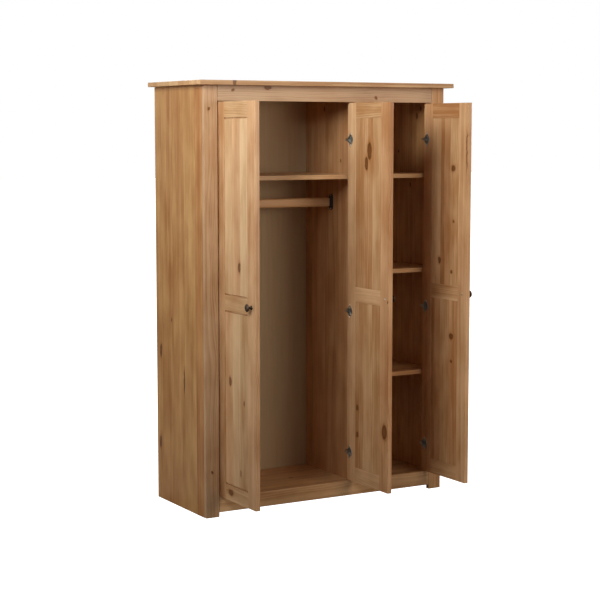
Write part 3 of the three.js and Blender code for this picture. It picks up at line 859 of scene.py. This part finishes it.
FLANGE_HALF_TALL = 29.5 * MM
FLANGE_HALF_WIDE = 21.0 * MM
FLANGE_TIP = 28.4 * MM
FLANGE_RIM = 18.6 * MM
FLANGE_THICK = 1.2 * MM


def diamond(inset):
    """The flange's outline as a reach for each angle, drawn in by an inset."""
    def reach(turn):
        along, aside = abs(math.cos(turn)), abs(math.sin(turn))
        points = 1 / (along / FLANGE_HALF_TALL + aside / FLANGE_HALF_WIDE)
        return max(FLANGE_RIM, min(points, FLANGE_TIP)) - inset
    return reach


CUP_MOUTH = 16.8 * MM
CUP_OUTSIDE = 17.5 * MM
CUP_SHEET = 0.7 * MM
FLANGE_SCREW = 23.5 * MM  # above and below the cup's middle
screw_points = {"door_left": [], "door_middle": [], "door_right": []}
HINGE_PLACES = ("low", "middle", "high")
for door, inward in (("left", 1), ("middle", -1), ("right", -1)):
    for place in HINGE_PLACES:
        low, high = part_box(f"hinge_{door}_{place}_cup")
        face = high[X] if inward > 0 else low[X]
        bottom = -(high[X] - low[X])
        centre = (face, (low[Y] + high[Y]) / 2, (low[Z] + high[Z]) / 2)
        profile = (
            (0, bottom), (14.6 * MM, bottom), (16.8 * MM, bottom + 0.8 * MM),
            (CUP_OUTSIDE, bottom + 2.4 * MM), (CUP_OUTSIDE, -FLANGE_THICK),
            (diamond(0), -FLANGE_THICK), (diamond(0), -0.5 * MM),
            (diamond(0.2 * MM), -0.15 * MM), (diamond(0.6 * MM), 0), (CUP_MOUTH + 0.9 * MM, 0),
            (CUP_MOUTH + 0.3 * MM, -0.25 * MM), (CUP_MOUTH, -0.9 * MM),
            (CUP_MOUTH, bottom + 2.6 * MM), (15.9 * MM, bottom + 1.3 * MM),
            (14.2 * MM, bottom + CUP_SHEET), (0, bottom + CUP_SHEET),
        )
        cup = turned(f"hinge_cup_{door}_{place}", profile, centre, (inward, 0, 0), nickel)
        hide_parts(f"hinge_{door}_{place}_cup")
        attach(cup, f"door_{door}")
        for end in (-1, 1):
            screw_points[f"door_{door}"].append((face, centre[1], centre[2] + end * FLANGE_SCREW))

# ---- Hinge arms ---------------------------------------------------------
# Bent steel straps, nickel plated, that hook into the cups. The foot of each
# is screwed to the back of a stile through a plate. They wear the cups' plating.
PRESSED_EDGE = 0.5 * MM
for door in ("left", "middle", "right"):
    for place in HINGE_PLACES:
        arm = bpy.data.objects[f"hinge_{door}_{place}_arm"]
        wear_only(arm, nickel)
        soften(arm, "pressed edges", PRESSED_EDGE)

# ---- Screws -------------------------------------------------------------
# Cross-head screws with low round heads, nickel plated: two in each hinge
# flange, arm plate and rail socket, and one in each knob from inside the door.
HEAD_SIDES = 24
# Shares of a head's radius: its top's radius, its height, its cross's size.
CROWN, HEAD_HEIGHT, CROSS_LENGTH, SLOT_WIDTH = 0.62, 0.42, 1.05, 0.26
CROSS_LIFT = 0.85  # a share of the head's height
heads = bpy.data.node_groups.new("screw heads", "GeometryNodeTree")
for label, kind in (
    ("Geometry", "Geometry"), ("Head radius", "Float"), ("Head height", "Float"), ("Slot", "Float"),
    ("Seed", "Int"), ("Finish", "Material"),
):
    heads.interface.new_socket(label, in_out="INPUT", socket_type=f"NodeSocket{kind}")
heads.interface.new_socket("Geometry", in_out="OUTPUT", socket_type="NodeSocketGeometry")
given = add(heads, "NodeGroupInput").outputs
crown = add(heads, "ShaderNodeMath", {0: given["Head radius"], 1: CROWN}, operation="MULTIPLY")
head = add(heads, "GeometryNodeMeshCone", {
    "Vertices": HEAD_SIDES, "Radius Top": crown,
    "Radius Bottom": given["Head radius"], "Depth": given["Head height"],
})
long = add(
    heads, "ShaderNodeMath", {0: given["Head radius"], 1: CROSS_LENGTH}, operation="MULTIPLY"
)
thin, deep = given["Slot"], given["Head height"]
one_size = add(heads, "ShaderNodeCombineXYZ", {0: long, 1: thin, 2: deep})
two_size = add(heads, "ShaderNodeCombineXYZ", {0: thin, 1: long, 2: deep})
bar_one = add(heads, "GeometryNodeMeshCube", {"Size": one_size})
bar_two = add(heads, "GeometryNodeMeshCube", {"Size": two_size})
cross = add(
    heads, "GeometryNodeMeshBoolean", {"Mesh 2": bar_one}, operation="UNION", solver="EXACT",
)
heads.links.new(bar_two.outputs[0], cross.inputs["Mesh 2"])
rise = add(heads, "ShaderNodeMath", {0: deep, 1: CROSS_LIFT}, operation="MULTIPLY")
up = add(heads, "ShaderNodeCombineXYZ", {2: rise})
lifted_cross = add(heads, "GeometryNodeTransform", {"Geometry": cross, "Translation": up})
recessed = add(
    heads, "GeometryNodeMeshBoolean", {"Mesh 1": head, "Mesh 2": lifted_cross},
    operation="DIFFERENCE", solver="EXACT",
)
spin = add(
    heads, "FunctionNodeRandomValue", {"Seed": given["Seed"], 2: 0.0, 3: math.pi}, data_type="FLOAT"
)
spin = add(heads, "ShaderNodeCombineXYZ", {2: spin})
spun = add(heads, "FunctionNodeEulerToRotation", {0: spin})
turned_to = add(
    heads, "GeometryNodeInputNamedAttribute", {"Name": "facing"}, data_type="FLOAT_VECTOR"
)
facing = add(heads, "FunctionNodeEulerToRotation", {0: turned_to})
set_at = add(heads, "FunctionNodeRotateRotation", {0: spun, 1: facing})
driven = add(heads, "GeometryNodeInstanceOnPoints", {
    "Points": given["Geometry"], "Instance": recessed, "Rotation": set_at,
})
made_real = add(heads, "GeometryNodeRealizeInstances", {0: driven})
plated = add(heads, "GeometryNodeSetMaterial", {"Geometry": made_real, "Material": given["Finish"]})
add(heads, "NodeGroupOutput", {0: plated})


def drive_screws(name, body, screws, radius, seed):
    """One mesh of screw heads for one body from (point, turn to face) pairs."""
    seats = new_piece(f"{name}_seats", [point for point, _ in screws], [], None)
    turns = seats.data.attributes.new("facing", "FLOAT_VECTOR", "POINT")
    turns.data.foreach_set("vector", [number for _, turn in screws for number in turn])
    modifier = seats.modifiers.new("screws", "NODES")
    modifier.node_group = heads
    items = heads.interface.items_tree
    sockets = {item.name: item.identifier for item in items if item.in_out == "INPUT"}
    modifier[sockets["Head radius"]] = radius
    modifier[sockets["Head height"]] = radius * HEAD_HEIGHT
    modifier[sockets["Slot"]] = radius * SLOT_WIDTH
    modifier[sockets["Seed"]] = seed
    modifier[sockets["Finish"]] = nickel
    settled = seats.evaluated_get(bpy.context.evaluated_depsgraph_get())
    mesh = bpy.data.meshes.new_from_object(settled)
    bpy.data.objects.remove(seats)
    made = bpy.data.objects.new(name, mesh)
    bpy.context.scene.collection.objects.link(made)
    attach(made, body)


DOOR_SCREW = 3.8 * MM
CARCASS_SCREW = 3.4 * MM
for seed, (door, inward) in enumerate((("left", 1), ("middle", -1), ("right", -1))):
    stile_low, stile_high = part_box(f"door_{door}_stile_free")
    knob_low, knob_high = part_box(f"door_{door}_knob")
    inner_face = stile_high[X] if inward > 0 else stile_low[X]
    points = screw_points[f"door_{door}"]
    points.append((inner_face, (knob_low[Y] + knob_high[Y]) / 2, (knob_low[Z] + knob_high[Z]) / 2))
    turn = (0, inward * math.pi / 2, 0)
    heads_in = [(point, turn) for point in points]
    drive_screws(f"screws_{door}_door", f"door_{door}", heads_in, DOOR_SCREW, seed + 1)
SOCKET_SCREW = 27.5 * MM  # above and below the rail's middle
ARM_PLATE = 2.3 * MM  # plate and seam
ARM_SCREW_IN = 8.5 * MM
ARM_SCREW = 14 * MM  # above and below the arm's middle
carcass_screws = []
for side, hand in (("left", 1), ("right", -1)):
    low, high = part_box(f"rail_bracket_{side}")
    plate_face = (low[X] if hand > 0 else high[X]) + hand * PLATE
    for end in (-1, 1):
        point = (plate_face, rail_y, rail_z + end * SOCKET_SCREW)
        carcass_screws.append((point, (0, hand * math.pi / 2, 0)))
plate_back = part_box("stile_left")[1][Y] + ARM_PLATE
for door, hand in (("left", 1), ("middle", -1), ("right", -1)):
    for place in HINGE_PLACES:
        low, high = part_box(f"hinge_{door}_{place}_arm")
        plate_x = (low[X] + ARM_SCREW_IN) if hand > 0 else (high[X] - ARM_SCREW_IN)
        for end in (-1, 1):
            point = (plate_x, plate_back, (low[Z] + high[Z]) / 2 + end * ARM_SCREW)
            carcass_screws.append((point, (-math.pi / 2, 0, 0)))
drive_screws("screws_carcass", "carcass", carcass_screws, CARCASS_SCREW, 11)
